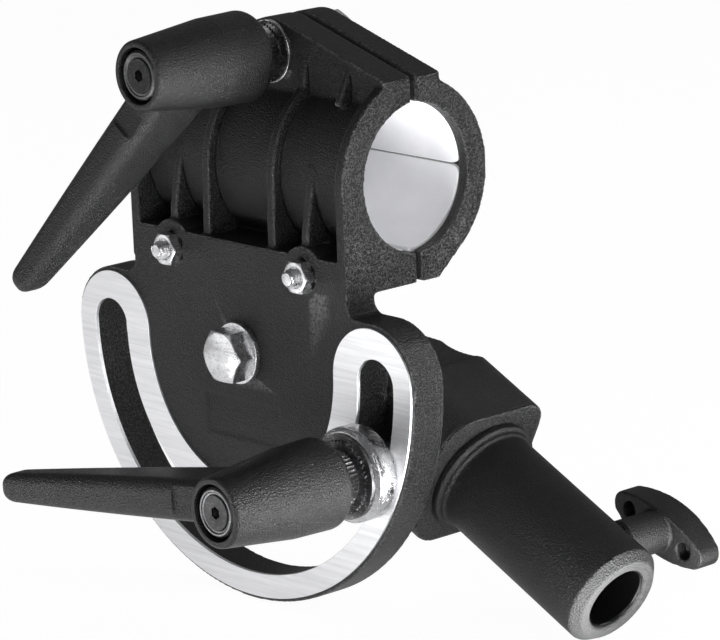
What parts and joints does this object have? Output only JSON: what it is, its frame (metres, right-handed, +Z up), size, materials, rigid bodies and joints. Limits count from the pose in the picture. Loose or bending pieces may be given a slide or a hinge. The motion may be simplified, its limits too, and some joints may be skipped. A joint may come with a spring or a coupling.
{
  "type": "tilting pipe clamp",
  "caption": "Stage lighting pipe clamp with ribbed jaws, a slotted half-round tilt plate, ratchet levers and a tilting spigot socket held by a wing knob.",
  "frame": {"origin": "centre of the pipe bore, on the pipe's axis and midway along the jaws", "axes": "+X along the pipe, -Y towards the levers, +Z up, away from the tilt plate"},
  "size_m": [0.1768, 0.1288, 0.1544],
  "materials": {
    "cast_black": "textured black powder coat on cast aluminium",
    "spigot_black": "satin black coat on turned aluminium, bright where worn",
    "liner": "smooth pale grey",
    "zinc_steel": "bright zinc plate",
    "worn_steel": "turned and scratched",
    "tooth_steel": "oiled dark steel",
    "spring_steel": "drawn wire",
    "lever_black": "satin black, finely textured",
    "knob_black": "satin black"
  },
  "bodies": {
    "clamp": {"clamp_body": "cast_black", "front_liner_upper": "liner", "front_liner_lower": "liner", "jaw_nuts": "zinc_steel", "pivot_screw": "zinc_steel", "pivot_washer_front": "zinc_steel", "pivot_washer_rear": "zinc_steel", "pivot_lock_nut": "zinc_steel", "upper_washer": "zinc_steel"},
    "rear_jaw_group": {"rear_jaw": "cast_black", "rear_liner_upper": "liner", "rear_liner_lower": "liner", "upper_stud_nut": "zinc_steel", "jaw_washers": "zinc_steel"},
    "left_jaw_screw": {"jaw_bolt_left": "zinc_steel"},
    "right_jaw_screw": {"jaw_bolt_right": "zinc_steel"},
    "upper_stud_group": {"upper_stud": "worn_steel", "upper_insert": "tooth_steel", "upper_cap_screw": "worn_steel", "upper_spring": "spring_steel"},
    "upper_handle": {"upper_lever": "lever_black"},
    "bracket_group": {"tilt_bracket": "cast_black", "spigot": "spigot_black", "lower_spacer": "worn_steel"},
    "lower_stud_group": {"lower_stud": "worn_steel", "lower_insert": "tooth_steel", "lower_cap_screw": "worn_steel", "lower_spring": "spring_steel"},
    "lower_handle": {"lower_lever": "lever_black"},
    "knob_screw": {"wing_screw": "zinc_steel"},
    "knob": {"wing_knob": "knob_black"}
  },
  "joints": [
    {"name": "upper_lever_turn", "type": "hinge", "parent": "clamp", "child": "upper_stud_group", "pos_m": [0, -0.0115, 0.0295], "axis": [0, -1, 0], "range_deg": [-270, 900]},
    {"name": "upper_lever_lift", "type": "slide", "parent": "upper_stud_group", "child": "upper_handle", "axis": [0, -1, 0], "range_m": [0, 0.004], "stiffness_N_per_m": 400, "springref_m": -0.004, "deforming": ["upper_spring"]},
    {"name": "rear_jaw_open", "type": "slide", "parent": "clamp", "child": "rear_jaw_group", "axis": [0, 1, 0], "range_m": [-0.00094, 0.00313]},
    {"name": "left_jaw_screw_turn", "type": "hinge", "parent": "rear_jaw_group", "child": "left_jaw_screw", "pos_m": [-0.0258, 0, -0.0231], "axis": [0, 1, 0], "range_deg": [-422, 1407]},
    {"name": "right_jaw_screw_turn", "type": "hinge", "parent": "rear_jaw_group", "child": "right_jaw_screw", "pos_m": [0.0258, 0, -0.0231], "axis": [0, 1, 0], "range_deg": [-422, 1407]},
    {"name": "tilt", "type": "hinge", "parent": "clamp", "child": "bracket_group", "pos_m": [0, 0, -0.0471], "axis": [0, 1, 0], "range_deg": [-26.1, 153.9]},
    {"name": "lower_lever_turn", "type": "hinge", "parent": "bracket_group", "child": "lower_stud_group", "pos_m": [0.04679, -0.0322, -0.07002], "axis": [0, -1, 0], "range_deg": [-45, 180]},
    {"name": "lower_lever_lift", "type": "slide", "parent": "lower_stud_group", "child": "lower_handle", "axis": [0, -1, 0], "range_m": [0, 0.004], "stiffness_N_per_m": 400, "springref_m": -0.004, "deforming": ["lower_spring"]},
    {"name": "knob_advance", "type": "slide", "parent": "bracket_group", "child": "knob_screw", "axis": [0, 1, 0], "range_m": [-0.00251, 0.00251]},
    {"name": "knob_turn", "type": "hinge", "parent": "knob_screw", "child": "knob", "pos_m": [0.08971, 0.0036, -0.09105], "axis": [0, 1, 0], "range_deg": [-720, 720]}
  ],
  "couplings": [
    {"joint": "rear_jaw_open", "follows": "upper_lever_turn", "m_per_rad": 0.00019894},
    {"joint": "left_jaw_screw_turn", "follows": "upper_lever_turn", "ratio": 1.5625},
    {"joint": "right_jaw_screw_turn", "follows": "upper_lever_turn", "ratio": 1.5625},
    {"joint": "knob_advance", "follows": "knob_turn", "m_per_rad": 0.00019894}
  ]
}
